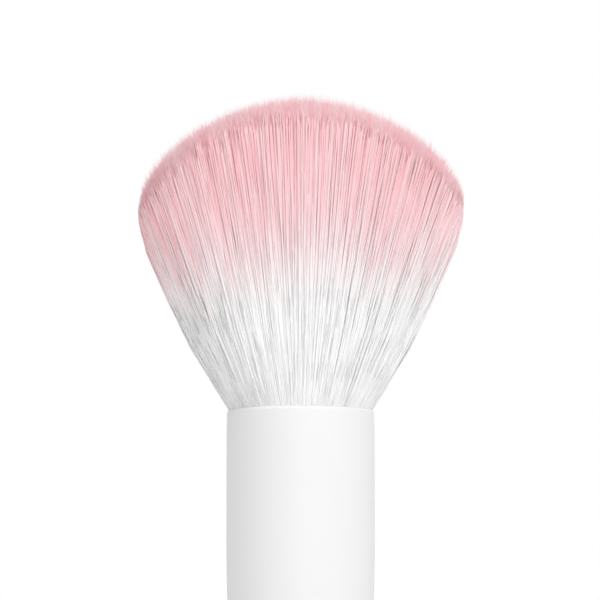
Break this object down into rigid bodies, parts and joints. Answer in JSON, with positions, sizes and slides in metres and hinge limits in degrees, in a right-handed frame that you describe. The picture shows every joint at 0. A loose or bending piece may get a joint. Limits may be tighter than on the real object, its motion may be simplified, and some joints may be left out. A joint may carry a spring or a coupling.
{
  "type": "powder brush",
  "caption": "Cosmetic powder brush with a domed, dip-dyed oval tuft glued in a smooth white ferrule on a slim tapered handle.",
  "frame": {"origin": "centre of the rounded tail end of the handle, the lowest point of the upright brush", "axes": "+Z along the brush's axis from the tail of the handle to the tips of the tuft; +X across the broad side of the oval tuft and -Y out of that side, towards the viewer of the picture"},
  "size_m": [0.0442, 0.0289, 0.1803],
  "materials": {
    "bristles": "fine crimped synthetic filaments, white at the root and dyed soft pink over the upper third, satin",
    "elastic": "plain matt elastic band",
    "resin": "cured clear amber resin",
    "ferrule_paint": "white satin-gloss lacquer on drawn aluminium",
    "glue": "cured cream-coloured glue",
    "handle_plastic": "white moulded plastic, satin-gloss"
  },
  "bodies": {
    "root": {"bristles": "bristles", "tuft_band": "elastic", "resin_plug": "resin", "ferrule": "ferrule_paint", "tenon_glue": "glue", "handle": "handle_plastic"}
  },
  "joints": []
}
